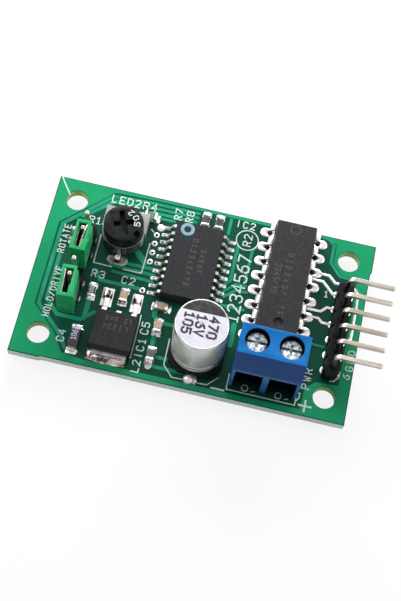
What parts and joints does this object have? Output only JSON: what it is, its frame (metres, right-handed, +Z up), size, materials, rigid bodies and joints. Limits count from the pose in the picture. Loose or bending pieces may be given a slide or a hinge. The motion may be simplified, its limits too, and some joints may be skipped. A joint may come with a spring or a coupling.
{
  "type": "stepper motor driver board",
  "caption": "Small circuit board that drives a unipolar stepper motor, with controller and driver chips, speed trimmer, two jumpers, supply terminal and motor header.",
  "frame": {"origin": "centre of the four mounting holes, on the board's underside", "axes": "+X along the long side to the angled motor header, +Y to the edge with the trimmer and the driver chip's end, +Z up from the component side"},
  "size_m": [0.0539, 0.0304, 0.013],
  "materials": {
    "board": "glossy green solder mask over glass laminate",
    "solder": "bright wet-looking tin solder",
    "chip_black": "moulded epoxy, fine matte",
    "tinned_leads": "matte tin plate",
    "can_aluminium": "satin can with a printed top",
    "base_black": "moulded",
    "trimmer_black": "moulded",
    "trimmer_rotor": "moulded, with a pale metal face",
    "trimmer_track": "carbon ink",
    "spring_brass": "rolled strip",
    "terminal_blue": "moulded, slight sheen",
    "screw_metal": "bright nickel plate",
    "cage_metal": "zinc plate",
    "strip_black": "moulded",
    "pin_metal": "pale gold flash over nickel",
    "cap_green": "moulded, glossy",
    "resistor_black": "glazed",
    "ceramic_tan": "fired ceramic",
    "ferrite_grey": "fired ferrite",
    "tantalum_dark": "moulded, with a pale band",
    "light_clear": "clear resin",
    "chip_ends": "tinned"
  },
  "bodies": {
    "board": {"circuit_board": "board", "tinned_pads": "solder", "solder_fillets": "solder", "solder_joints": "solder", "controller_body": "chip_black", "driver_body": "chip_black", "regulator_body": "chip_black", "controller_leads": "tinned_leads", "driver_leads": "tinned_leads", "regulator_leads": "tinned_leads", "regulator_tab": "tinned_leads", "capacitor_leads": "tinned_leads", "trimmer_pins": "tinned_leads", "capacitor_can": "can_aluminium", "capacitor_base": "base_black", "trimmer_housing": "trimmer_black", "trimmer_track": "trimmer_track", "terminal_contacts": "spring_brass", "terminal_housing": "terminal_blue", "header_strip": "strip_black", "direction_strip": "strip_black", "run_strip": "strip_black", "header_pins": "pin_metal", "direction_pins": "pin_metal", "run_pins": "pin_metal", "resistor_pullup": "resistor_black", "resistor_input": "resistor_black", "resistor_clock": "resistor_black", "resistor_speed": "resistor_black", "ceramic_input": "ceramic_tan", "ceramic_controller": "ceramic_tan", "ceramic_output": "ceramic_tan", "ferrite_bead": "ferrite_grey", "tantalum_chip": "tantalum_dark", "status_light": "light_clear", "resistor_pullup_ends": "chip_ends", "resistor_input_ends": "chip_ends", "resistor_clock_ends": "chip_ends", "resistor_speed_ends": "chip_ends", "ceramic_input_ends": "chip_ends", "ceramic_controller_ends": "chip_ends", "ceramic_output_ends": "chip_ends", "ferrite_bead_ends": "chip_ends", "tantalum_chip_ends": "chip_ends", "status_light_ends": "chip_ends"},
    "trimmer_adjuster": {"trimmer_rotor": "trimmer_rotor", "trimmer_wiper": "spring_brass"},
    "minus_screw": {"terminal_screw_minus": "screw_metal"},
    "plus_screw": {"terminal_screw_plus": "screw_metal"},
    "minus_cage": {"terminal_cage_minus": "cage_metal"},
    "plus_cage": {"terminal_cage_plus": "cage_metal"},
    "direction_jumper": {"direction_cap": "cap_green", "direction_clip": "spring_brass"},
    "run_jumper": {"run_cap": "cap_green", "run_clip": "spring_brass"}
  },
  "joints": [
    {"name": "trimmer_turn", "type": "hinge", "parent": "board", "child": "trimmer_adjuster", "pos_m": [-0.01322, 0.00698, 0.0045], "axis": [0, 0, 1], "range_deg": [-118, 118]},
    {"name": "minus_screw_turn", "type": "hinge", "parent": "board", "child": "minus_screw", "pos_m": [0.01003, -0.0091, 0.009], "axis": [0, 0, -1], "range_deg": [0, 1300]},
    {"name": "minus_cage_lift", "type": "slide", "parent": "board", "child": "minus_cage", "axis": [0, 0, 1], "range_m": [0, 0.0018]},
    {"name": "plus_screw_turn", "type": "hinge", "parent": "board", "child": "plus_screw", "pos_m": [0.01503, -0.0091, 0.009], "axis": [0, 0, -1], "range_deg": [0, 1300]},
    {"name": "plus_cage_lift", "type": "slide", "parent": "board", "child": "plus_cage", "axis": [0, 0, 1], "range_m": [0, 0.0018]},
    {"name": "direction_jumper_pull", "type": "slide", "parent": "board", "child": "direction_jumper", "axis": [0, 0, 1], "range_m": [0, 0.0062]},
    {"name": "run_jumper_pull", "type": "slide", "parent": "board", "child": "run_jumper", "axis": [0, 0, 1], "range_m": [0, 0.0062]}
  ],
  "couplings": [
    {"joint": "minus_screw_turn", "follows": "minus_cage_lift", "rad_per_m": 12566},
    {"joint": "plus_screw_turn", "follows": "plus_cage_lift", "rad_per_m": 12566}
  ]
}
